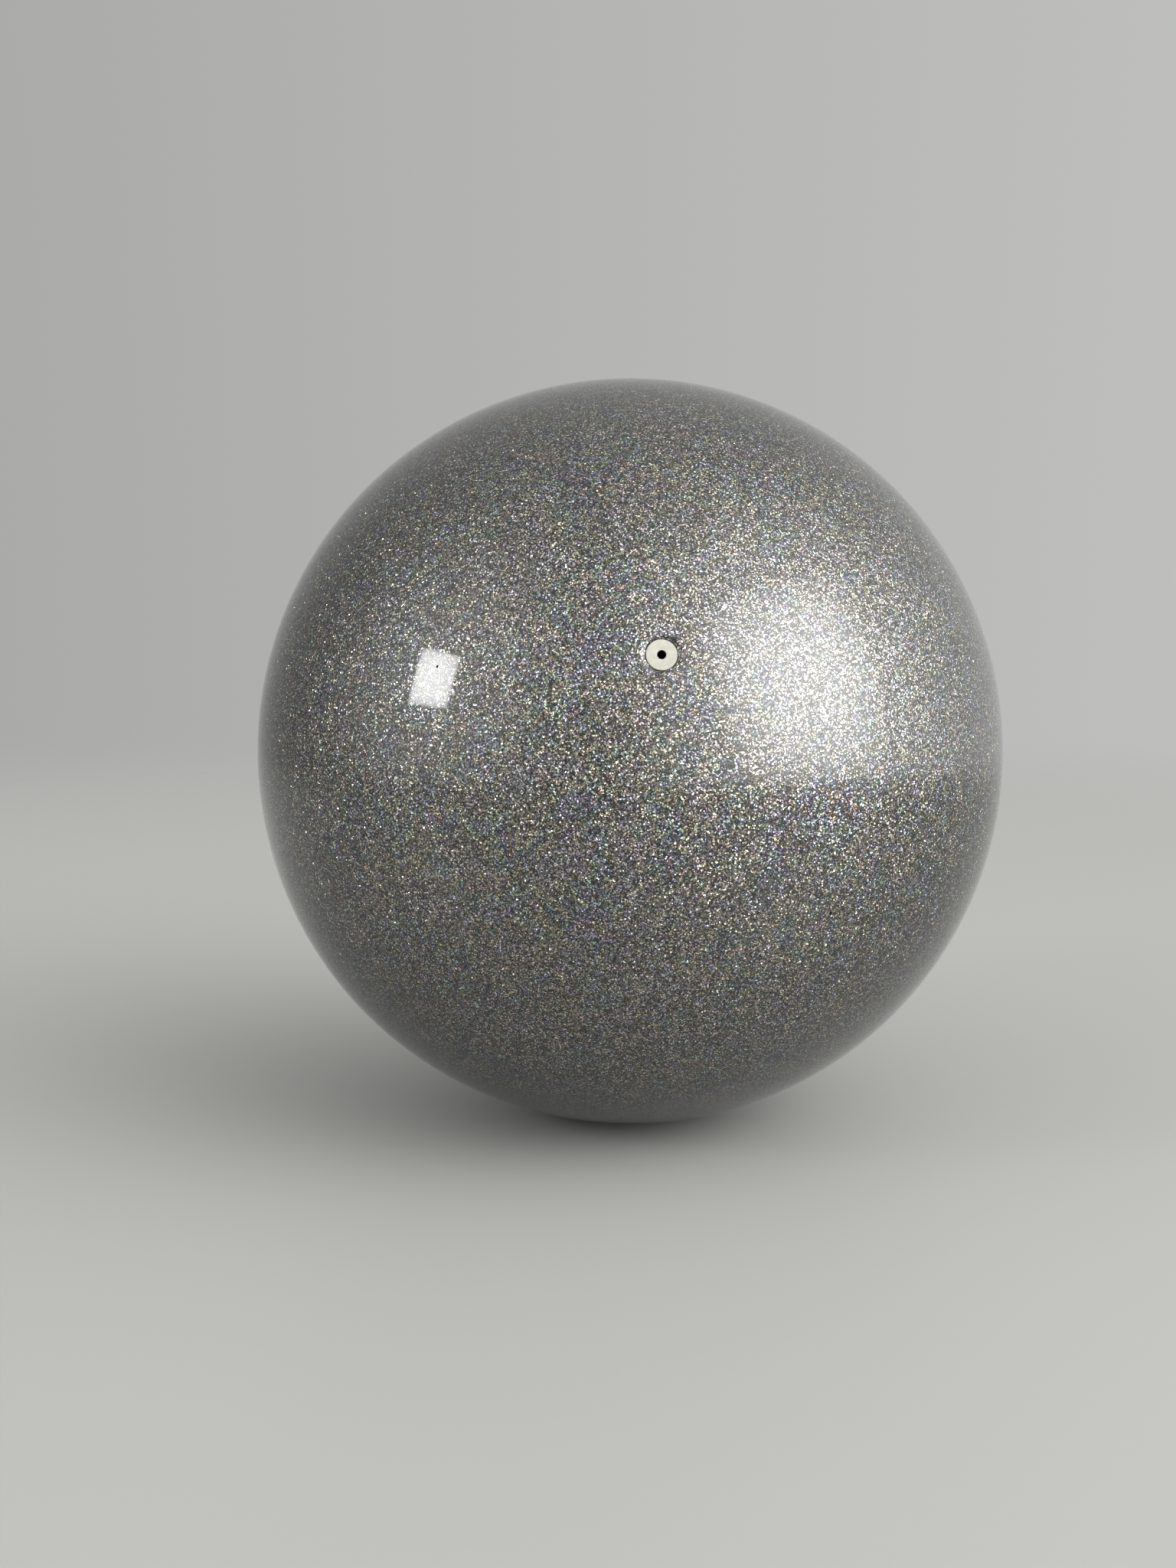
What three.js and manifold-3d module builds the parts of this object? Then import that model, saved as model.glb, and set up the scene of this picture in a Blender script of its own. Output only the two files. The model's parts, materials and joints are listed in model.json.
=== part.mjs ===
// A hollow rubber gymnastics ball with a glitter lacquer coat and a needle valve.
// Millimetres, +Z up, the origin at the ball's centre, the valve on the -Y side.
// Every piece is turned about the valve axis, so all of them are lathe profiles
// of (distance from the axis, height along the axis) in one tilted group.

import * as THREE from "three";
import { mergeVertices } from "three/addons/utils/BufferGeometryUtils.js";
import Module from "manifold-3d";

// Ball
const ballDiameter = 185;
const coatThickness = 0.4;
const wallThickness = 2.9;
const bondGap = 0.1;
const valveTilt = 16.7; // degrees that the valve axis rises above the horizontal

// Dimple that the valve disc lies in
const dimpleDepth = 0.45;
const dimpleSlopeWidth = 0.75;

// Valve core: a disc on a tapered barrel, with a needle hole and a sealing slit
const discDiameter = 6.5;
const discThickness = 1.2;
const discChamfer = 0.15;
const discRecess = 0.05; // how far the disc lies under the bottom edge of the dimple
const barrelDiameter = 4.6;
const tipDiameter = 3.8;
const tipChamfer = 0.4;
const coreLength = 14;
const needleHoleDiameter = 1.8;
const needleHoleDepth = 8;
const needleHolePoint = 0.7;
const slitWidth = 1.3;
const slitGap = 0.2;

// Valve housing: the rubber boot bonded into the wall, which grips the core
const coreClearance = 0.1;
const neckWall = 0.9;
const bodyWall = 1.9;
const flangeDiameter = 24;
const flangeEdge = 0.6;
const flangeRise = 1.4; // extra thickness of the flange where it meets the body
const filletWidth = 2.2;
const floorThickness = 1.5;
const airPortDiameter = 2.4;

// Facets
const turnSegments = 48;
const sphereSteps = 24;
const flangeSteps = 3;
const weldTolerance = 1e-4;

// Radii that follow from the sizes above
const ballRadius = ballDiameter / 2;
const coatInnerRadius = ballRadius - coatThickness;
const wallOuterRadius = coatInnerRadius - bondGap;
const wallInnerRadius = wallOuterRadius - wallThickness;
const housingSeatRadius = wallInnerRadius - bondGap;
const discRadius = discDiameter / 2;
const socketRadius = discRadius + coreClearance;
const dimpleRadius = socketRadius + dimpleSlopeWidth;
const neckRadius = socketRadius + neckWall;
const wallHoleRadius = neckRadius + bondGap;
const boreTopRadius = barrelDiameter / 2 + coreClearance;
const boreTipRadius = tipDiameter / 2 + coreClearance;
const bodyRadius = boreTopRadius + bodyWall;
const flangeRadius = flangeDiameter / 2;
const needleHoleRadius = needleHoleDiameter / 2;
const airPortRadius = airPortDiameter / 2;
const flangeAngle = Math.asin(flangeRadius / housingSeatRadius);

// Height of a layer's surface at a distance from the valve axis, dimple included
function surfaceHeight(layerRadius, distance) {
  const slope = (dimpleRadius - distance) / dimpleSlopeWidth;
  const drop = dimpleDepth * Math.min(Math.max(slope, 0), 1);
  return Math.sqrt(layerRadius ** 2 - distance ** 2) - drop;
}

// Heights along the valve axis
const faceHeight = surfaceHeight(ballRadius, socketRadius) - discRecess;
const shoulderHeight = faceHeight - discThickness;
const seatHeight = shoulderHeight - coreClearance;
const coreTipHeight = faceHeight - coreLength;
const floorHeight = coreTipHeight - coreClearance;
const housingBottomHeight = floorHeight - floorThickness;

// Profile points of a layer's surface, from its hole out to where the plain sphere starts
function dimplePoints(layerRadius, holeRadius) {
  const points = [new THREE.Vector2(holeRadius, surfaceHeight(layerRadius, holeRadius))];
  if (dimpleRadius > holeRadius) {
    points.push(new THREE.Vector2(dimpleRadius, surfaceHeight(layerRadius, dimpleRadius)));
  }
  return points;
}

// Profile points of a sphere between two angles from the valve axis
function arcPoints(radius, startAngle, endAngle, steps) {
  const points = [];
  for (let step = 1; step <= steps; step += 1) {
    const angle = startAngle + ((endAngle - startAngle) * step) / steps;
    const distance = angle < Math.PI ? radius * Math.sin(angle) : 0;
    points.push(new THREE.Vector2(distance, radius * Math.cos(angle)));
  }
  return points;
}

// Profile points of one side of a layer, from its hole over the flange to the far pole
function sidePoints(layerRadius, holeRadius) {
  const plainAngle = Math.asin(Math.max(holeRadius, dimpleRadius) / layerRadius);
  return [
    ...dimplePoints(layerRadius, holeRadius),
    ...arcPoints(layerRadius, plainAngle, flangeAngle, flangeSteps),
    ...arcPoints(layerRadius, flangeAngle, Math.PI, sphereSteps),
  ];
}

// Profile of a hollow layer between two spheres, with a round hole at the valve
function layerProfile(outerRadius, innerRadius, holeRadius) {
  const outer = sidePoints(outerRadius, holeRadius);
  const inner = sidePoints(innerRadius, holeRadius);
  return [...outer.reverse(), ...inner];
}

// A solid of revolution from a profile
function turned(profile) {
  return new THREE.LatheGeometry(profile, turnSegments);
}

// Conversion between a three.js geometry and a manifold solid
const wasm = await Module();
wasm.setup();

function toSolid(geometry) {
  const bare = geometry.clone();
  bare.deleteAttribute("normal");
  bare.deleteAttribute("uv");
  const merged = mergeVertices(bare, weldTolerance);
  const mesh = new wasm.Mesh({
    numProp: 3,
    vertProperties: merged.attributes.position.array,
    triVerts: new Uint32Array(merged.index.array),
  });
  return new wasm.Manifold(mesh);
}

function toGeometry(solid) {
  const mesh = solid.getMesh();
  const geometry = new THREE.BufferGeometry();
  geometry.setAttribute("position", new THREE.BufferAttribute(mesh.vertProperties, 3));
  geometry.setIndex(new THREE.BufferAttribute(mesh.triVerts, 1));
  geometry.computeVertexNormals();
  return geometry;
}

// Clear lacquer coat that carries the glitter
function makeCoat() {
  const profile = layerProfile(ballRadius, coatInnerRadius, socketRadius);
  return turned(profile);
}

// Moulded rubber wall under the coat
function makeWall() {
  const profile = layerProfile(wallOuterRadius, wallInnerRadius, wallHoleRadius);
  return turned(profile);
}

// Rubber boot: a neck through the wall, a flange bonded under it and a closed-in body
function makeHousing() {
  const topRadius = wallOuterRadius;
  const profile = [
    new THREE.Vector2(socketRadius, seatHeight),
    new THREE.Vector2(socketRadius, surfaceHeight(topRadius, socketRadius)),
  ];
  if (dimpleRadius < neckRadius) {
    profile.push(new THREE.Vector2(dimpleRadius, surfaceHeight(topRadius, dimpleRadius)));
  }
  profile.push(
    new THREE.Vector2(neckRadius, surfaceHeight(topRadius, neckRadius)),
    new THREE.Vector2(neckRadius, Math.sqrt(housingSeatRadius ** 2 - neckRadius ** 2)),
    ...arcPoints(
      housingSeatRadius,
      Math.asin(neckRadius / housingSeatRadius),
      flangeAngle,
      flangeSteps,
    ),
  );
  const edgeHeight = housingSeatRadius * Math.cos(flangeAngle) - flangeEdge;
  const rootHeight = edgeHeight - flangeRise;
  profile.push(
    new THREE.Vector2(flangeRadius, edgeHeight),
    new THREE.Vector2(bodyRadius + filletWidth, rootHeight),
    new THREE.Vector2(bodyRadius, rootHeight - filletWidth),
    new THREE.Vector2(bodyRadius, housingBottomHeight + tipChamfer),
    new THREE.Vector2(bodyRadius - tipChamfer, housingBottomHeight),
    new THREE.Vector2(airPortRadius, housingBottomHeight),
    new THREE.Vector2(airPortRadius, floorHeight),
    new THREE.Vector2(boreTipRadius, floorHeight),
    new THREE.Vector2(boreTopRadius, seatHeight),
    profile[0].clone(),
  );
  return turned(profile.reverse());
}

// Pale plug whose disc shows from outside, bored for a needle and slit at its tip
function makeCore() {
  const holeBottom = faceHeight - needleHoleDepth;
  const profile = [
    new THREE.Vector2(0, coreTipHeight),
    new THREE.Vector2(tipDiameter / 2 - tipChamfer, coreTipHeight),
    new THREE.Vector2(tipDiameter / 2, coreTipHeight + tipChamfer),
    new THREE.Vector2(barrelDiameter / 2, shoulderHeight),
    new THREE.Vector2(discRadius, shoulderHeight),
    new THREE.Vector2(discRadius, faceHeight - discChamfer),
    new THREE.Vector2(discRadius - discChamfer, faceHeight),
    new THREE.Vector2(needleHoleRadius, faceHeight),
    new THREE.Vector2(needleHoleRadius, holeBottom),
    new THREE.Vector2(0, holeBottom - needleHolePoint),
  ];
  const plug = toSolid(turned(profile));
  const slitBottom = coreTipHeight - coreClearance;
  const blade = new THREE.BoxGeometry(slitWidth, holeBottom - slitBottom, slitGap);
  blade.translate(0, (holeBottom + slitBottom) / 2, 0);
  return toGeometry(plug.subtract(toSolid(blade)));
}

// Materials
const glitterLacquer = new THREE.MeshStandardMaterial({
  color: 0xb4b3b0,
  roughness: 0.25,
  metalness: 0.6,
});
const greyRubber = new THREE.MeshStandardMaterial({
  color: 0x4b4a49,
  roughness: 0.85,
  metalness: 0,
});
const blackRubber = new THREE.MeshStandardMaterial({
  color: 0x1c1c1c,
  roughness: 0.8,
  metalness: 0,
});
const paleRubber = new THREE.MeshStandardMaterial({
  color: 0xdcdacd,
  roughness: 0.6,
  metalness: 0,
});

// Assembly: the lathe axis is the group's Y, tilted to point at -Y and up
const ball = new THREE.Group();

function addPiece(name, geometry, material) {
  const piece = new THREE.Mesh(geometry, material);
  piece.name = name;
  ball.add(piece);
}

addPiece("glitter_coat", makeCoat(), glitterLacquer);
addPiece("rubber_wall", makeWall(), greyRubber);
addPiece("valve_housing", makeHousing(), blackRubber);
addPiece("valve_core", makeCore(), paleRubber);
ball.rotation.x = Math.PI - THREE.MathUtils.degToRad(valveTilt);

const object = new THREE.Group();
object.add(ball);
export default object;
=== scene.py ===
import json
import math

import bmesh
import bpy
from mathutils import Matrix, Vector, noise


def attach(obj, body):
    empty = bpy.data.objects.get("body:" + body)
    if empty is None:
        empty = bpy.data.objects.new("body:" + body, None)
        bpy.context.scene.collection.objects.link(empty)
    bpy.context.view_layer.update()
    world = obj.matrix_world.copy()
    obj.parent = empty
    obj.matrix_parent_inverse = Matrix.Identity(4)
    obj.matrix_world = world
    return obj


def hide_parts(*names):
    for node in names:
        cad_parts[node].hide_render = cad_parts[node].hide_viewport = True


# A rhythmic gymnastics ball: glitter lacquer over a rubber wall, with a needle valve.
# Every piece is drawn as half a section beside an upright axis, spun, and then turned
# onto the valve axis.

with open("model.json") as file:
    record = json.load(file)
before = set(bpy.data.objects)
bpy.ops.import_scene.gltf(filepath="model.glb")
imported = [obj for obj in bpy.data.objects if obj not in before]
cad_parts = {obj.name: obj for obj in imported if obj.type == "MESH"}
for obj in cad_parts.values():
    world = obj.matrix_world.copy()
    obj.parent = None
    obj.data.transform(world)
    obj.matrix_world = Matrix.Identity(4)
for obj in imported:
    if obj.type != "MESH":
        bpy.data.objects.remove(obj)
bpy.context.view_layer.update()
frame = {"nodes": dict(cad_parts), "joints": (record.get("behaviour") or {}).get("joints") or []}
print("frame loaded:", ", ".join(sorted(frame["nodes"])))

mm = 0.001
weldDistance = 0.001 * mm
upwards = Vector((0, 0, 1))


# lowest, highest and widest reach of a CAD piece along and around the valve axis
def reachOf(node, axis):
    points = [v.co for v in frame["nodes"][node].data.vertices]
    heights = [point.dot(axis) for point in points]
    widest = max((point - axis * height).length for point, height in zip(points, heights))
    return min(heights), max(heights), widest


# radius of the inner and the outer face of a round CAD layer
def radiiOf(node):
    radii = [v.co.length for v in frame["nodes"][node].data.vertices]
    return min(radii), max(radii)


# radius of the hole that a CAD layer has at the valve
def holeOf(node, axis):
    points = [v.co for v in frame["nodes"][node].data.vertices if v.co.dot(axis) > 0]
    return min((point - axis * point.dot(axis)).length for point in points)


valveAxis = Vector(frame["joints"][0]["axis"]).normalized()
coreTipHeight, faceHeight, discRadius = reachOf("valve_core", valveAxis)
housingBottom, _, flangeRadius = reachOf("valve_housing", valveAxis)
ballRadius = radiiOf("glitter_coat")[1]
wallInnerRadius, wallOuterRadius = radiiOf("rubber_wall")
wallHoleRadius = holeOf("rubber_wall", valveAxis)

camera = {
    "lens": 39.55,
    "sensor": 36,  # mm, along the longer side of the picture
    "nearest": 0.01,
    "heading": 3.0,  # degrees to the right of straight ahead
    "pitch": 5.4,  # degrees downwards
    "ballRight": 10.25 * mm,  # where the ball's centre lies from the camera
    "ballUp": 8.05 * mm,
    "ballAhead": 437.3 * mm,
}

headingTurn = math.radians(camera["heading"])
pitchTurn = math.radians(camera["pitch"])
levelAhead = Vector((math.sin(headingTurn), math.cos(headingTurn), 0))
cameraRight = Vector((math.cos(headingTurn), -math.sin(headingTurn), 0))
cameraAhead = levelAhead * math.cos(pitchTurn) - upwards * math.sin(pitchTurn)
cameraUp = cameraRight.cross(cameraAhead)


def placeCamera():
    data = bpy.data.cameras.new("camera")
    data.lens = camera["lens"]
    data.sensor_width = camera["sensor"]
    data.clip_start = camera["nearest"]
    shot = bpy.data.objects.new("camera", data)
    bpy.context.scene.collection.objects.link(shot)
    shot.location = -(cameraRight * camera["ballRight"] + cameraUp * camera["ballUp"]
                      + cameraAhead * camera["ballAhead"])
    sides = Matrix((cameraRight, cameraUp, -cameraAhead)).transposed()
    shot.rotation_mode = "QUATERNION"
    shot.rotation_quaternion = sides.to_quaternion()
    bpy.context.scene.camera = shot


placeCamera()
print("camera placed")


# a section is a chain of points in the XZ plane, and its last point is the pen
def penDown(bm, distance, height):
    return bmesh.ops.create_vert(bm, co=(distance, 0, height))["vert"][0]


def lineTo(bm, pen, distance, height):
    tip = bmesh.ops.extrude_vert_indiv(bm, verts=[pen])["verts"][0]
    bmesh.ops.translate(bm, verts=[tip], vec=Vector((distance, 0, height)) - tip.co)
    return tip


# an arc round the ball's centre, by an angle that is positive away from the valve
def arcBy(bm, pen, angle, steps):
    swept = bmesh.ops.spin(bm, geom=[pen], cent=(0, 0, 0), axis=(0, 1, 0),
                           angle=angle, steps=steps, use_duplicate=False)
    return swept["geom_last"][0]


# joins the pen back to the first point of a ring-shaped section
def closeSection(bm, pen, first):
    bmesh.ops.contextual_create(bm, geom=[pen, first])


def roundCorner(bm, corner, size, segments=4):
    bmesh.ops.bevel(bm, geom=[corner], affect="VERTICES", offset=size, offset_type="OFFSET",
                    segments=segments, profile=0.5, material=-1)


def spinSection(bm, turnSteps):
    bmesh.ops.spin(bm, geom=bm.verts[:] + bm.edges[:], cent=(0, 0, 0), axis=(0, 0, 1),
                   angle=2 * math.pi, steps=turnSteps, use_merge=True, use_duplicate=False)
    bmesh.ops.remove_doubles(bm, verts=bm.verts, dist=weldDistance)
    bmesh.ops.recalc_face_normals(bm, faces=bm.faces)


def addObject(bm, name):
    mesh = bpy.data.meshes.new(name)
    bm.to_mesh(mesh)
    bm.free()
    made = bpy.data.objects.new(name, mesh)
    bpy.context.scene.collection.objects.link(made)
    return made


toValve = upwards.rotation_difference(valveAxis).to_matrix().to_4x4()


# turns a shape onto the valve axis and shades it smooth, but for its sharp edges
def makePiece(bm, name, sharpAngle=35):
    bmesh.ops.transform(bm, matrix=toValve, verts=bm.verts)
    for face in bm.faces:
        face.smooth = True
    for edge in bm.edges:
        edge.smooth = edge.calc_face_angle(0) < math.radians(sharpAngle)
    return addObject(bm, name)


def dress(piece, material, body, node):
    piece.data.materials.append(material)
    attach(piece, body)
    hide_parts(node)
    print("made", piece.name, "with", len(piece.data.polygons), "faces")


# height of a layer's surface above the ball's centre, beside the valve axis
def sphereHeight(radius, distance):
    return math.sqrt(radius ** 2 - distance ** 2)


def newMaterial(name):
    material = bpy.data.materials.new(name)
    material.use_nodes = True
    return material, material.node_tree, material.node_tree.nodes["Principled BSDF"]


def addNode(tree, kind, inputs=None, **settings):
    node = tree.nodes.new(kind)
    for key, value in settings.items():
        setattr(node, key, value)
    for key, value in (inputs or {}).items():
        if isinstance(value, bpy.types.NodeSocket):
            tree.links.new(value, node.inputs[key])
        else:
            node.inputs[key].default_value = value
    return node


def mathNode(tree, operation, first, second=0.0, clamp=False):
    node = addNode(tree, "ShaderNodeMath", {0: first, 1: second},
                   operation=operation, use_clamp=clamp)
    return node.outputs[0]


# gives a vector, or one number where the operation measures
def vectorNode(tree, operation, first, second=(0, 0, 0)):
    node = addNode(tree, "ShaderNodeVectorMath", {0: first, 1: second}, operation=operation)
    measures = operation in ("DOT_PRODUCT", "LENGTH", "DISTANCE")
    return node.outputs["Value" if measures else "Vector"]


def scaleNode(tree, vector, factor):
    node = addNode(tree, "ShaderNodeVectorMath", {0: vector, "Scale": factor}, operation="SCALE")
    return node.outputs["Vector"]


def mixColour(tree, factor, first, second, blend="MIX"):
    node = addNode(tree, "ShaderNodeMix", {0: factor, 6: first, 7: second},
                   data_type="RGBA", blend_type=blend)
    return node.outputs[2]


def ramp(tree, factor, stops):
    node = addNode(tree, "ShaderNodeValToRGB", {"Fac": factor})
    elements = node.color_ramp.elements
    elements[0].position, elements[0].color = stops[0][0], (*stops[0][1], 1)
    elements[1].position, elements[1].color = stops[-1][0], (*stops[-1][1], 1)
    for position, colour in stops[1:-1]:
        elements.new(position).color = (*colour, 1)
    return node.outputs["Color"]


def grey(level):
    return level, level, level


def objectPlace(tree):
    return addNode(tree, "ShaderNodeTexCoord").outputs["Object"]


glitter = {
    "flakeSize": 0.25 * mm,
    "spread": 0.6,  # tangent of the tilt that about half of the flakes stay under
    "tail": 0.65,  # above 0.5, more flakes are flat, more are steep and fewer between
    "farthest": 0.92,  # how far along that tail the steepest flake lies
    "steepShadeRate": 1.9,  # how fast a steeper flake's colour darkens, a painted shade for the neighbours that hide it
    "roughness": 0.16,
    "gapShare": 0.2,  # how much of the surface is dark lacquer between flakes
    "gapEdge": 0.01,
    "gapShade": 0.02,
    "dullest": 0.115,  # shades of the flakes themselves
    "common": 0.29,
    "commonEnd": 0.75,  # share of the surface that is no lighter than the common shade
    "brightest": 1.0,
    "warmth": (1.0, 0.955, 0.87, 1),
    "tint": 0.78,  # how much of the hue a fully leaning flake shows
    "tintFrom": 0.02,  # tilt at which a flake begins to show it
    "tintRise": 5.0,  # how soon it shows all of it
    "tintBlotch": 2.6 * mm,
    "tintPatch": 10 * mm,
    "tintDetail": 1.0,
    "blotchTurns": 2.2,  # how far round the hues a blotch and a patch can lead
    "patchTurns": 3.0,
    "edgeTint": (0.45, 0.45, 0.45, 1),
    "speckColour": (0.012, 0.011, 0.01, 1),
    "lacquerRoughness": 0.05,
    "lacquerIndex": 1.6,  # how strongly the lacquer bends and mirrors light
}

# what the flakes split white light into, in the order in which they turn
flakeHues = [
    (0.00, (0.36, 0.45, 1.0)),
    (0.20, (0.66, 0.50, 1.0)),
    (0.34, (1.0, 0.62, 0.66)),
    (0.48, (1.0, 0.70, 0.34)),
    (0.64, (1.0, 0.93, 0.45)),
    (0.80, (0.50, 1.0, 0.78)),
    (1.00, (0.36, 0.45, 1.0)),
]

# dark specks caught in the lacquer, by degrees round from the front and degrees up
specks = [
    {"turn": -30.6, "rise": 14.9, "radius": 0.30 * mm},
    {"turn": 24.5, "rise": -17.6, "radius": 0.36 * mm},
    {"turn": 118.0, "rise": 14.0, "radius": 0.22 * mm},
    {"turn": 201.0, "rise": -19.0, "radius": 0.27 * mm},
]


def speckPlace(speck):
    turned, raised = math.radians(speck["turn"]), math.radians(speck["rise"])
    return Vector((math.sin(turned) * math.cos(raised), -math.cos(turned) * math.cos(raised),
                   math.sin(raised))) * ballRadius


# half of the flakes lie nearly flat, and the rest trail off to steep ones
def flakeTilt(tree, lot):
    share = mathNode(tree, "MULTIPLY", lot, glitter["farthest"])
    rest = mathNode(tree, "SUBTRACT", 1.0, share)
    slope = mathNode(tree, "POWER", mathNode(tree, "DIVIDE", share, rest), glitter["tail"])
    return mathNode(tree, "MULTIPLY", slope, glitter["spread"])


# each flake leans its own way from the surface of the ball
def flakeNormal(tree, lots, tilt):
    surface = addNode(tree, "ShaderNodeNewGeometry").outputs["Normal"]
    aim = vectorNode(tree, "SUBTRACT", lots, grey(0.5))
    turned = addNode(tree, "ShaderNodeVectorTransform", {"Vector": aim}, vector_type="VECTOR",
                     convert_from="OBJECT", convert_to="WORLD").outputs[0]
    along = vectorNode(tree, "NORMALIZE", vectorNode(tree, "CROSS_PRODUCT", surface, turned))
    leaning = vectorNode(tree, "ADD", surface, scaleNode(tree, along, tilt))
    return vectorNode(tree, "NORMALIZE", leaning)


# a leaning flake splits the light, and its neighbours split it much alike
def flakeTint(tree, place, tilt):
    blotch, patch = (
        addNode(tree, "ShaderNodeTexNoise", {"Vector": place, "Scale": 1 / glitter[size],
                                             "Detail": glitter["tintDetail"]}).outputs["Fac"]
        for size in ("tintBlotch", "tintPatch"))
    turn = mathNode(tree, "ADD", mathNode(tree, "MULTIPLY", blotch, glitter["blotchTurns"]),
                    mathNode(tree, "MULTIPLY", patch, glitter["patchTurns"]))
    hue = ramp(tree, mathNode(tree, "FRACT", turn), flakeHues)
    past = mathNode(tree, "SUBTRACT", tilt, glitter["tintFrom"])
    lean = mathNode(tree, "MULTIPLY", past, glitter["tintRise"], clamp=True)
    tint = mathNode(tree, "MULTIPLY", mathNode(tree, "MULTIPLY", lean, patch), glitter["tint"])
    return mixColour(tree, tint, glitter["warmth"], hue)


# most flakes are dull, a few are bright, and dark lacquer shows between them
def flakeShade(tree, lot):
    gapEnd = glitter["gapShare"]
    return ramp(tree, lot, [
        (0.0, grey(glitter["gapShade"])),
        (gapEnd, grey(glitter["gapShade"])),
        (gapEnd + glitter["gapEdge"], grey(glitter["dullest"])),
        (glitter["commonEnd"], grey(glitter["common"])),
        (1.0, grey(glitter["brightest"])),
    ])


def glitterMaterial():
    material, tree, shader = newMaterial("glitterLacquer")
    place = objectPlace(tree)
    flakes = addNode(tree, "ShaderNodeTexVoronoi",
                     {"Vector": place, "Scale": 1 / glitter["flakeSize"]}, feature="F1")
    dice = addNode(tree, "ShaderNodeTexWhiteNoise", {"Vector": flakes.outputs["Position"]},
                   noise_dimensions="3D")
    lots = addNode(tree, "ShaderNodeSeparateColor", {"Color": dice.outputs["Color"]})
    tilt = flakeTilt(tree, lots.outputs["Blue"])
    normal = flakeNormal(tree, flakes.outputs["Color"], tilt)

    # painted shade: the steeper a flake leans, the darker its colour is painted, for the
    # neighbours that shadow it
    steep = mathNode(tree, "ADD", mathNode(tree, "MULTIPLY", tilt, tilt), 1.0)
    steepShade = mathNode(tree, "POWER", steep, -glitter["steepShadeRate"])
    tinted, level = flakeTint(tree, place, tilt), flakeShade(tree, dice.outputs["Value"])
    colour = scaleNode(tree, mixColour(tree, 1.0, tinted, level, "MULTIPLY"), steepShade)
    lacquer = 1.0
    for speck in specks:
        away = vectorNode(tree, "DISTANCE", place, speckPlace(speck))
        inside = mathNode(tree, "LESS_THAN", away, speck["radius"])
        colour = mixColour(tree, inside, colour, glitter["speckColour"])
        lacquer = mathNode(tree, "SUBTRACT", lacquer, inside, clamp=True)

    tree.links.new(normal, shader.inputs["Normal"])
    tree.links.new(colour, shader.inputs["Base Color"])
    tree.links.new(lacquer, shader.inputs["Coat Weight"])
    shader.inputs["Metallic"].default_value = 1.0
    shader.inputs["Roughness"].default_value = glitter["roughness"]
    shader.inputs["Specular Tint"].default_value = glitter["edgeTint"]
    shader.inputs["Coat Roughness"].default_value = glitter["lacquerRoughness"]
    shader.inputs["Coat IOR"].default_value = glitter["lacquerIndex"]
    return material


# what the rubbers have in common
rubber = {
    "mottleDetail": 3.0,
    "mottleRoughness": 0.6,
    "grainDetail": 2.0,
    "glossSwing": 0.5,  # how much of the mottling shows in the gloss as well
    "grainHeight": 0.6,  # the grain's and the mottling's parts of the relief
    "mottleHeight": 0.4,
    "relief": 0.5,
}

rubberSockets = (
    ("Colour", "INPUT", "NodeSocketColor"),
    ("Mottle", "INPUT", "NodeSocketFloat"),
    ("Mottle Size", "INPUT", "NodeSocketFloat"),
    ("Grain Size", "INPUT", "NodeSocketFloat"),
    ("Matt", "INPUT", "NodeSocketFloat"),
    ("Colour", "OUTPUT", "NodeSocketColor"),
    ("Roughness", "OUTPUT", "NodeSocketFloat"),
    ("Height", "OUTPUT", "NodeSocketFloat"),
)


# moulded rubber: soft mottling, a matt grain and a little sheen that comes and goes
def rubberGrainGroup():
    group = bpy.data.node_groups.new("rubberGrain", "ShaderNodeTree")
    for name, side, kind in rubberSockets:
        group.interface.new_socket(name, in_out=side, socket_type=kind)
    given = group.nodes.new("NodeGroupInput").outputs
    result = group.nodes.new("NodeGroupOutput").inputs
    place = objectPlace(group)
    mottleScale = mathNode(group, "DIVIDE", 1.0, given["Mottle Size"])
    mottle = addNode(group, "ShaderNodeTexNoise", {
        "Vector": place, "Scale": mottleScale, "Detail": rubber["mottleDetail"],
        "Roughness": rubber["mottleRoughness"]}).outputs["Fac"]
    grainScale = mathNode(group, "DIVIDE", 1.0, given["Grain Size"])
    grain = addNode(group, "ShaderNodeTexNoise", {
        "Vector": place, "Scale": grainScale, "Detail": rubber["grainDetail"]}).outputs["Fac"]
    swing = mathNode(group, "MULTIPLY", mathNode(group, "SUBTRACT", mottle, 0.5),
                     given["Mottle"])
    shade = scaleNode(group, given["Colour"], mathNode(group, "ADD", 1.0, swing))
    gloss = mathNode(group, "MULTIPLY", swing, rubber["glossSwing"])
    height = mathNode(group, "ADD", mathNode(group, "MULTIPLY", grain, rubber["grainHeight"]),
                      mathNode(group, "MULTIPLY", mottle, rubber["mottleHeight"]))
    group.links.new(shade, result["Colour"])
    group.links.new(mathNode(group, "ADD", given["Matt"], gloss), result["Roughness"])
    group.links.new(height, result["Height"])
    return group


rubberGrain = rubberGrainGroup()


def rubberMaterial(name, look):
    material, tree, shader = newMaterial(name)
    grain = addNode(tree, "ShaderNodeGroup", node_tree=rubberGrain)
    grain.inputs["Colour"].default_value = (*look["colour"], 1)
    grain.inputs["Mottle"].default_value = look["mottle"]
    grain.inputs["Mottle Size"].default_value = look["mottleSize"]
    grain.inputs["Grain Size"].default_value = look["grainSize"]
    grain.inputs["Matt"].default_value = look["matt"]
    bump = addNode(tree, "ShaderNodeBump", {
        "Height": grain.outputs["Height"], "Strength": rubber["relief"],
        "Distance": look["grainDepth"]})
    tree.links.new(grain.outputs["Colour"], shader.inputs["Base Color"])
    tree.links.new(grain.outputs["Roughness"], shader.inputs["Roughness"])
    tree.links.new(bump.outputs["Normal"], shader.inputs["Normal"])
    return material, tree, shader, grain.outputs["Colour"]


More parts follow.
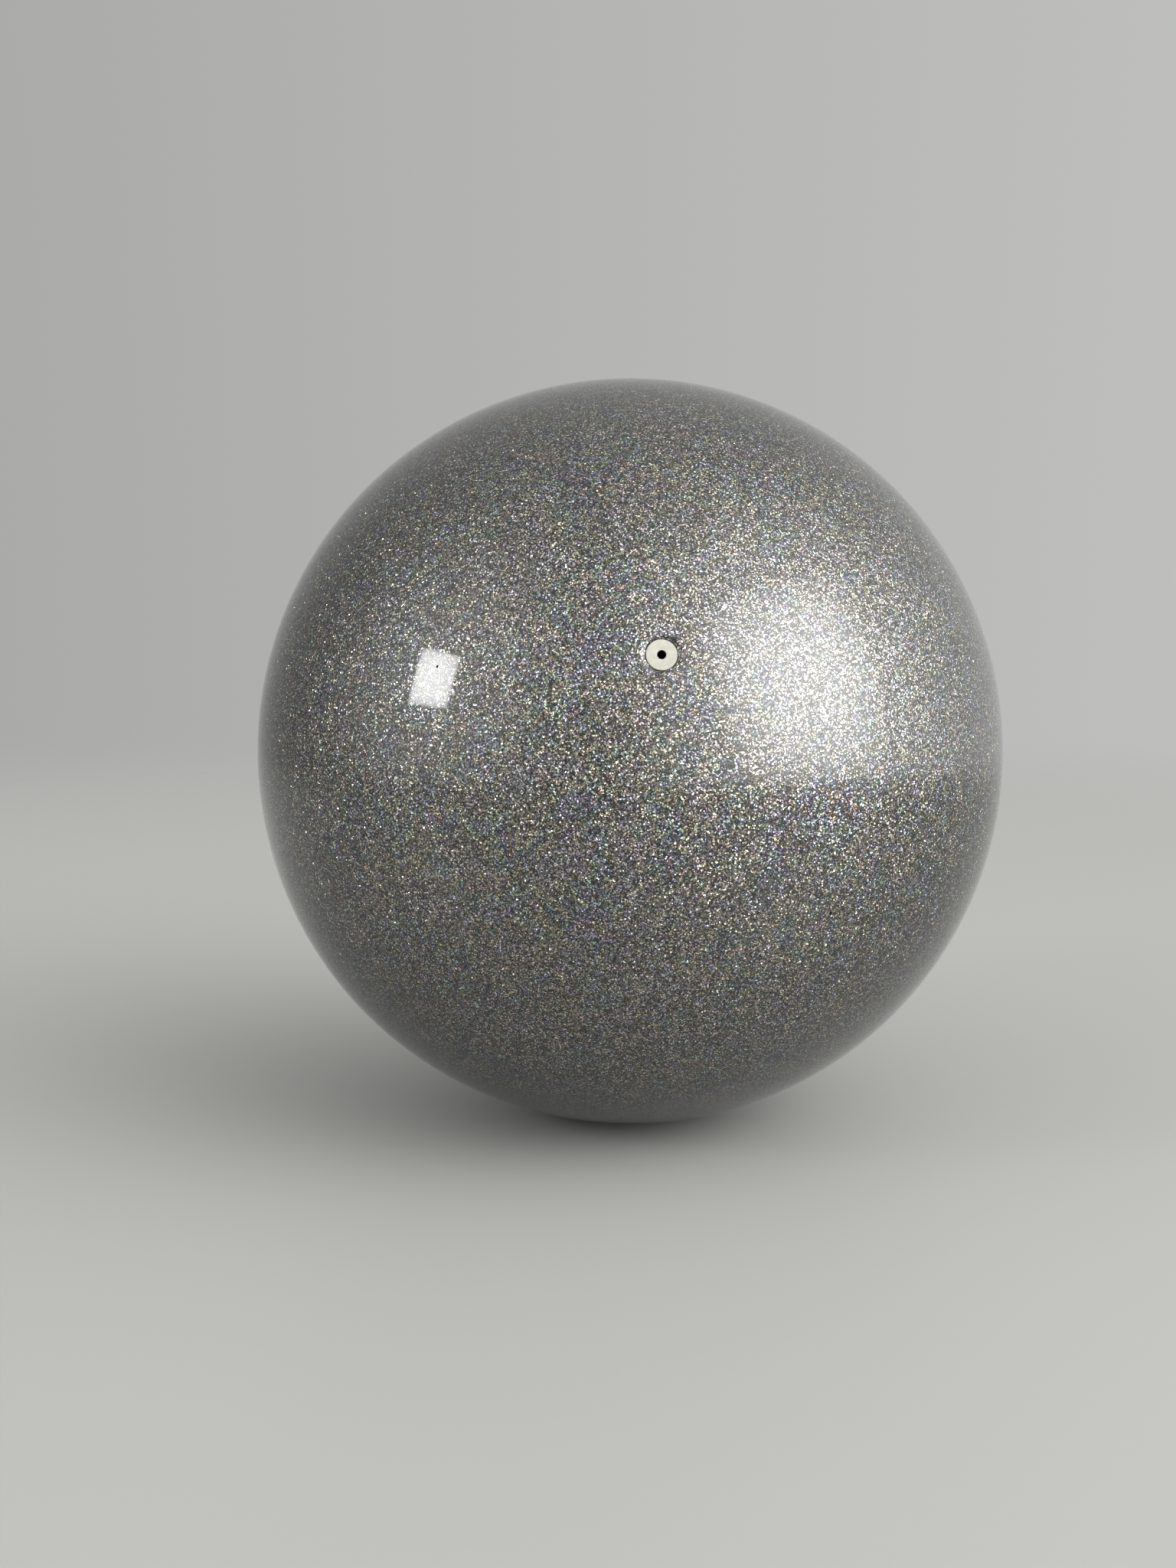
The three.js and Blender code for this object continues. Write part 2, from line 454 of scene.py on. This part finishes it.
dimple = {
    "depth": 0.45 * mm,
    "slopeWidth": 0.75 * mm,
    "gap": 0.1 * mm,  # between neighbouring pieces
    "lipRounding": 0.42 * mm,
    "lipSteps": 6,
    "rimRounding": 0.12 * mm,
    "rimSteps": 3,
}

socketRadius = discRadius + dimple["gap"]
dimpleRadius = socketRadius + dimple["slopeWidth"]

coat = {
    "thickness": 0.4 * mm,
    "outerSteps": 190,
    "innerSteps": 48,
    "turnSteps": 320,
    "swellSize": 16 * mm,  # the lacquer's slight orange peel, coarse and fine
    "swell": 0.014 * mm,
    "rippleSize": 7 * mm,
    "ripple": 0.004 * mm,
    "edgeWaver": 0.045 * mm,  # the lacquer's brushed edge round the valve
    "waverReach": 1.4,  # out to this many times the dimple's radius
    "waverTurns": 3.0,
}


def waverCoat(bm):
    for vert in bm.verts:
        place = vert.co
        aside = Vector((place.x, place.y, 0))
        if place.length > ballRadius - coat["thickness"] / 2:
            swell = noise.noise(place / coat["swellSize"]) * coat["swell"]
            swell += noise.noise(place / coat["rippleSize"]) * coat["ripple"]
            vert.co = place + place.normalized() * swell
        if place.z > 0 and aside.length < dimpleRadius * coat["waverReach"]:
            waver = noise.noise(aside.normalized() * coat["waverTurns"]) * coat["edgeWaver"]
            vert.co += aside.normalized() * waver


def makeCoat():
    bm = bmesh.new()
    inner = ballRadius - coat["thickness"]
    outerAngle = math.asin(dimpleRadius / ballRadius)
    innerAngle = math.asin(dimpleRadius / inner)
    rimHeight = sphereHeight(ballRadius, socketRadius) - dimple["depth"]
    footHeight = sphereHeight(inner, socketRadius) - dimple["depth"]
    pen = penDown(bm, 0, -ballRadius)
    pen = lip = arcBy(bm, pen, outerAngle - math.pi, coat["outerSteps"])
    pen = rim = lineTo(bm, pen, socketRadius, rimHeight)
    pen = lineTo(bm, pen, socketRadius, footHeight)
    pen = lineTo(bm, pen, dimpleRadius, sphereHeight(inner, dimpleRadius))
    arcBy(bm, pen, math.pi - innerAngle, coat["innerSteps"])
    roundCorner(bm, lip, dimple["lipRounding"], dimple["lipSteps"])
    roundCorner(bm, rim, dimple["rimRounding"], dimple["rimSteps"])
    spinSection(bm, coat["turnSteps"])
    waverCoat(bm)
    return makePiece(bm, "glitterCoat")


wall = {
    "outerSteps": 60,
    "innerSteps": 60,
    "edgeRounding": 0.3 * mm,
    "turnSteps": 128,
}

wallRubber = {
    "colour": (0.07, 0.07, 0.068),
    "mottle": 0.5,
    "mottleSize": 3 * mm,
    "grainSize": 0.35 * mm,
    "grainDepth": 0.03 * mm,
    "matt": 0.75,
}


def makeWall():
    bm = bmesh.new()
    outerAngle = math.asin(wallHoleRadius / wallOuterRadius)
    innerAngle = math.asin(wallHoleRadius / wallInnerRadius)
    holeHeight = sphereHeight(wallInnerRadius, wallHoleRadius)
    pen = penDown(bm, 0, -wallOuterRadius)
    pen = outerEdge = arcBy(bm, pen, outerAngle - math.pi, wall["outerSteps"])
    pen = innerEdge = lineTo(bm, pen, wallHoleRadius, holeHeight)
    arcBy(bm, pen, math.pi - innerAngle, wall["innerSteps"])
    roundCorner(bm, outerEdge, wall["edgeRounding"])
    roundCorner(bm, innerEdge, wall["edgeRounding"])
    spinSection(bm, wall["turnSteps"])
    return makePiece(bm, "rubberWall")


core = {
    "discThickness": 1.2 * mm,
    "discRounding": 0.15 * mm,
    "discSteps": 5,
    "barrelRadius": 2.3 * mm,
    "tipRadius": 1.9 * mm,
    "tipRounding": 0.4 * mm,
    "backRounding": 0.12 * mm,
    "backSteps": 3,
    "holeRadius": 0.9 * mm,
    "holeRounding": 0.08 * mm,
    "holeDepth": 8 * mm,
    "holePoint": 0.7 * mm,
    "slitWidth": 1.3 * mm,
    "slitGap": 0.2 * mm,
    "edgeWaver": 0.03 * mm,  # the disc is cut by hand
    "waverFrom": 1.1,  # beyond this many times the barrel's radius
    "waverTurns": 2.2,
    "waverStart": Vector((4, 0, 0)),
    "holeBlack": (0.004, 0.004, 0.003, 1),
    "holeBlackReach": 0.7,  # how far the black comes over the rounding of the hole's mouth
    "turnSteps": 144,
}

coreRubber = {
    "colour": (0.37, 0.362, 0.316),
    "mottle": 0.55,
    "mottleSize": 1.1 * mm,
    "grainSize": 0.16 * mm,
    "grainDepth": 0.015 * mm,
    "matt": 0.6,
}

shoulderHeight = faceHeight - core["discThickness"]
holeBottom = faceHeight - core["holeDepth"]


# the plug is pale, but its needle hole and the rounding of its mouth are coloured near black
def coreMaterial():
    material, tree, shader, pale = rubberMaterial("paleRubber", coreRubber)
    place = objectPlace(tree)
    away = vectorNode(tree, "LENGTH", vectorNode(tree, "CROSS_PRODUCT", place, valveAxis))
    height = vectorNode(tree, "DOT_PRODUCT", place, valveAxis)
    holeBlackRadius = core["holeRadius"] + core["holeRounding"] * core["holeBlackReach"]
    near = mathNode(tree, "LESS_THAN", away, holeBlackRadius)
    above = mathNode(tree, "GREATER_THAN", height, holeBottom - mm)
    dark = mathNode(tree, "MULTIPLY", near, above)
    tree.links.new(mixColour(tree, dark, pale, core["holeBlack"]), shader.inputs["Base Color"])
    return material


def waverDisc(bm):
    for vert in bm.verts:
        aside = Vector((vert.co.x, vert.co.y, 0))
        outside = aside.length > core["barrelRadius"] * core["waverFrom"]
        if outside and vert.co.z > shoulderHeight - mm / 2:
            waver = noise.noise(aside.normalized() * core["waverTurns"] + core["waverStart"])
            vert.co += aside.normalized() * min(waver, 0) * core["edgeWaver"]


# the slit at the tip, which closes when the needle is out
def cutSlit(piece):
    bm = bmesh.new()
    bottom = coreTipHeight - dimple["gap"]
    size = (core["slitWidth"], core["slitGap"], holeBottom - bottom)
    bmesh.ops.create_cube(bm, size=1)
    bmesh.ops.scale(bm, vec=size, verts=bm.verts)
    bmesh.ops.translate(bm, vec=(0, 0, (holeBottom + bottom) / 2), verts=bm.verts)
    blade = makePiece(bm, "slitBlade")
    cut = piece.modifiers.new("slit", "BOOLEAN")
    cut.object = blade
    cut.operation = "DIFFERENCE"
    cut.solver = "EXACT"
    posed = piece.evaluated_get(bpy.context.evaluated_depsgraph_get())
    slitMesh = bpy.data.meshes.new_from_object(posed)
    piece.modifiers.clear()
    piece.data = slitMesh
    bpy.data.objects.remove(blade)


def makeCore():
    bm = bmesh.new()
    pen = penDown(bm, 0, coreTipHeight)
    pen = tipEdge = lineTo(bm, pen, core["tipRadius"], coreTipHeight)
    pen = neck = lineTo(bm, pen, core["barrelRadius"], shoulderHeight)
    pen = discBack = lineTo(bm, pen, discRadius, shoulderHeight)
    pen = discFront = lineTo(bm, pen, discRadius, faceHeight)
    pen = holeMouth = lineTo(bm, pen, core["holeRadius"], faceHeight)
    pen = lineTo(bm, pen, core["holeRadius"], holeBottom)
    lineTo(bm, pen, 0, holeBottom - core["holePoint"])
    roundCorner(bm, tipEdge, core["tipRounding"])
    roundCorner(bm, neck, core["backRounding"], core["backSteps"])
    roundCorner(bm, discBack, core["backRounding"], core["backSteps"])
    roundCorner(bm, discFront, core["discRounding"], core["discSteps"])
    roundCorner(bm, holeMouth, core["holeRounding"])
    spinSection(bm, core["turnSteps"])
    waverDisc(bm)
    piece = makePiece(bm, "valveCore")
    cutSlit(piece)
    return piece


housing = {
    "bodyWall": 1.9 * mm,
    "flangeEdge": 0.6 * mm,
    "flangeRise": 1.4 * mm,
    "filletWidth": 2.2 * mm,
    "floorThickness": 1.5 * mm,
    "airPortRadius": 1.2 * mm,
    "edgeRounding": 0.25 * mm,
    "bottomRounding": 0.5 * mm,
    "flangeSteps": 10,
    "turnSteps": 112,
}

housingRubber = {
    "colour": (0.014, 0.014, 0.014),
    "mottle": 0.5,
    "mottleSize": 2 * mm,
    "grainSize": 0.25 * mm,
    "grainDepth": 0.03 * mm,
    "matt": 0.7,
}


def makeHousing():
    bm = bmesh.new()
    seatRadius = wallInnerRadius - dimple["gap"]
    neckRadius = wallHoleRadius - dimple["gap"]
    boreTop = core["barrelRadius"] + dimple["gap"]
    boreTip = core["tipRadius"] + dimple["gap"]
    bodyRadius = boreTop + housing["bodyWall"]
    seatHeight = shoulderHeight - dimple["gap"]
    floorHeight = housingBottom + housing["floorThickness"]
    socketHeight = sphereHeight(wallOuterRadius, socketRadius) - dimple["depth"]
    edgeHeight = sphereHeight(seatRadius, flangeRadius) - housing["flangeEdge"]
    rootHeight = edgeHeight - housing["flangeRise"]
    flangeSweep = math.asin(flangeRadius / seatRadius) - math.asin(neckRadius / seatRadius)
    first = penDown(bm, socketRadius, seatHeight)
    pen = lineTo(bm, first, socketRadius, socketHeight)
    pen = lineTo(bm, pen, dimpleRadius, sphereHeight(wallOuterRadius, dimpleRadius))
    pen = lineTo(bm, pen, neckRadius, sphereHeight(wallOuterRadius, neckRadius))
    pen = lineTo(bm, pen, neckRadius, sphereHeight(seatRadius, neckRadius))
    pen = flangeTop = arcBy(bm, pen, flangeSweep, housing["flangeSteps"])
    pen = flangeUnder = lineTo(bm, pen, flangeRadius, edgeHeight)
    pen = filletOut = lineTo(bm, pen, bodyRadius + housing["filletWidth"], rootHeight)
    pen = filletIn = lineTo(bm, pen, bodyRadius, rootHeight - housing["filletWidth"])
    pen = bottomEdge = lineTo(bm, pen, bodyRadius, housingBottom)
    pen = portEdge = lineTo(bm, pen, housing["airPortRadius"], housingBottom)
    pen = lineTo(bm, pen, housing["airPortRadius"], floorHeight)
    pen = lineTo(bm, pen, boreTip, floorHeight)
    pen = lineTo(bm, pen, boreTop, seatHeight)
    closeSection(bm, pen, first)
    for corner in (flangeTop, flangeUnder, portEdge):
        roundCorner(bm, corner, housing["edgeRounding"])
    for corner in (filletOut, filletIn):
        roundCorner(bm, corner, housing["filletWidth"] / 2)
    roundCorner(bm, bottomEdge, housing["bottomRounding"])
    spinSection(bm, housing["turnSteps"])
    return makePiece(bm, "valveHousing")


dress(makeCoat(), glitterMaterial(), "ball", "glitter_coat")
dress(makeWall(), rubberMaterial("wallRubber", wallRubber)[0],
      "ball", "rubber_wall")
dress(makeHousing(), rubberMaterial("housingRubber", housingRubber)[0],
      "ball", "valve_housing")
dress(makeCore(), coreMaterial(), "core", "valve_core")

studio = {
    "backdrop": (0.99, 1.0, 0.97, 1),
    "backdropLevel": 0.465,
    "backdropSlant": 0.18,  # how much lighter the right is than the middle
    "sideGlow": 0.65,  # light from the far right and from the ceiling
    "ceilingGlow": 0.3,
    "glowSharpness": 3.0,
    "floorColour": (0.36, 0.36, 0.349, 1),
    "cardRoughness": 1.0,  # the card is dead matt under its sheen
    "cardGloss": 0.0,
    "sheen": 0.1,
    "sheenRoughness": 0.45,
    "floorRadius": 2.0,
    "floorSides": 96,
    "fadeStart": 0.4,  # metres from the ball at which the floor begins to melt away
    "fadeEnd": 1.6,
}

# aim: how far the lamp is to the camera's right, towards the camera and up
# softness: how far the cloth's light fades towards its frame
# halo: light that it throws on the wall round it
keyLamp = {
    "aim": (0.713, 0.577, 0.35),
    "distance": 1.0,
    "size": (1.0, 0.98),
    "radiance": 4.3,
    "softness": 0.85,
    "halo": 3.3,
    "haloSharpness": 4.0,
}
windowLamp = {
    "aim": (-0.829, 0.465, 0.345),
    "distance": 1.1,
    "size": (0.25, 0.26),
    "radiance": 12.0,
    "softness": 0.2,
    "halo": 1.5,
    "haloSharpness": 6.0,
}


def lampDirection(look):
    right, near, up = look["aim"]
    return (cameraRight * right - levelAhead * near + upwards * up).normalized()


def addLamp(name, look):
    data = bpy.data.lights.new(name, "AREA")
    data.shape = "RECTANGLE"
    data.size, data.size_y = look["size"]
    data.energy = look["radiance"] * math.pi * data.size * data.size_y
    lamp = bpy.data.objects.new(name, data)
    bpy.context.scene.collection.objects.link(lamp)
    lamp.location = lampDirection(look) * look["distance"]
    lamp.rotation_mode = "QUATERNION"
    lamp.rotation_quaternion = lampDirection(look).to_track_quat("Z", "Y")
    softenLamp(data, look["softness"])


# a softbox whose cloth is brightest in the middle and fades towards its frame
def softenLamp(data, softness):
    data.use_nodes = True
    tree = data.node_tree
    cloth = addNode(tree, "ShaderNodeNewGeometry").outputs["Parametric"]
    sides = addNode(tree, "ShaderNodeSeparateXYZ", {0: cloth})
    fullHeight = 4.0  # brings the product of a side's two parts to 1 in its middle
    light = 1.0
    for side in ("X", "Y"):
        part = sides.outputs[side]
        hump = mathNode(tree, "MULTIPLY", part, mathNode(tree, "SUBTRACT", 1.0, part))
        light = mathNode(tree, "MULTIPLY", mathNode(tree, "MULTIPLY", hump, fullHeight), light)
    faded = mathNode(tree, "POWER", light, softness)
    tree.links.new(faded, tree.nodes["Emission"].inputs["Strength"])


# the backdrop, and round it the glow of the room, which only the ball and the floor see
def setWorld():
    world = bpy.data.worlds.new("studio")
    bpy.context.scene.world = world
    world.use_nodes = True
    tree = world.node_tree
    background = tree.nodes["Background"]
    background.inputs["Color"].default_value = studio["backdrop"]
    look = addNode(tree, "ShaderNodeTexCoord").outputs["Generated"]
    aside = vectorNode(tree, "DOT_PRODUCT", look, cameraRight)
    slant = mathNode(tree, "MULTIPLY", aside, studio["backdropSlant"])
    level = mathNode(tree, "ADD", slant, studio["backdropLevel"])
    glows = ((cameraRight, studio["sideGlow"], studio["glowSharpness"]),
             (upwards, studio["ceilingGlow"], studio["glowSharpness"]),
             (lampDirection(keyLamp), keyLamp["halo"], keyLamp["haloSharpness"]),
             (lampDirection(windowLamp), windowLamp["halo"], windowLamp["haloSharpness"]))
    seen = addNode(tree, "ShaderNodeLightPath").outputs["Is Camera Ray"]
    unseen = mathNode(tree, "SUBTRACT", 1.0, seen)
    for direction, strength, sharpness in glows:
        facing = vectorNode(tree, "DOT_PRODUCT", look, direction)
        near = mathNode(tree, "POWER", mathNode(tree, "MAXIMUM", facing, 0.0), sharpness)
        glow = mathNode(tree, "MULTIPLY", mathNode(tree, "MULTIPLY", near, strength), unseen)
        level = mathNode(tree, "ADD", level, glow)
    tree.links.new(level, background.inputs["Strength"])


# the floor is plain satin card that melts into the backdrop far from the ball
def floorMaterial():
    material, tree, shader = newMaterial("floorCard")
    shader.inputs["Base Color"].default_value = studio["floorColour"]
    shader.inputs["Roughness"].default_value = studio["cardRoughness"]
    shader.inputs["Specular IOR Level"].default_value = studio["cardGloss"]
    gloss = addNode(tree, "ShaderNodeBsdfGlossy", {"Roughness": studio["sheenRoughness"]})
    satin = addNode(tree, "ShaderNodeMixShader", {
        0: studio["sheen"], 1: shader.outputs[0], 2: gloss.outputs[0]})
    away = vectorNode(tree, "LENGTH", objectPlace(tree))
    fade = addNode(tree, "ShaderNodeMapRange", {
        "Value": away, "From Min": studio["fadeStart"], "From Max": studio["fadeEnd"]},
        interpolation_type="SMOOTHSTEP")
    clear = addNode(tree, "ShaderNodeBsdfTransparent")
    blend = addNode(tree, "ShaderNodeMixShader", {
        0: fade.outputs[0], 1: satin.outputs[0], 2: clear.outputs[0]})
    tree.links.new(blend.outputs[0], tree.nodes["Material Output"].inputs["Surface"])
    return material


def layFloor():
    bm = bmesh.new()
    bmesh.ops.create_circle(bm, cap_ends=True, segments=studio["floorSides"],
                            radius=studio["floorRadius"])
    bmesh.ops.translate(bm, verts=bm.verts, vec=(0, 0, -ballRadius))
    floor = addObject(bm, "floor")
    floor.data.materials.append(floorMaterial())


setWorld()
layFloor()
addLamp("key", keyLamp)
addLamp("window", windowLamp)
bpy.context.scene.view_settings.view_transform = "Standard"
print("stage set")
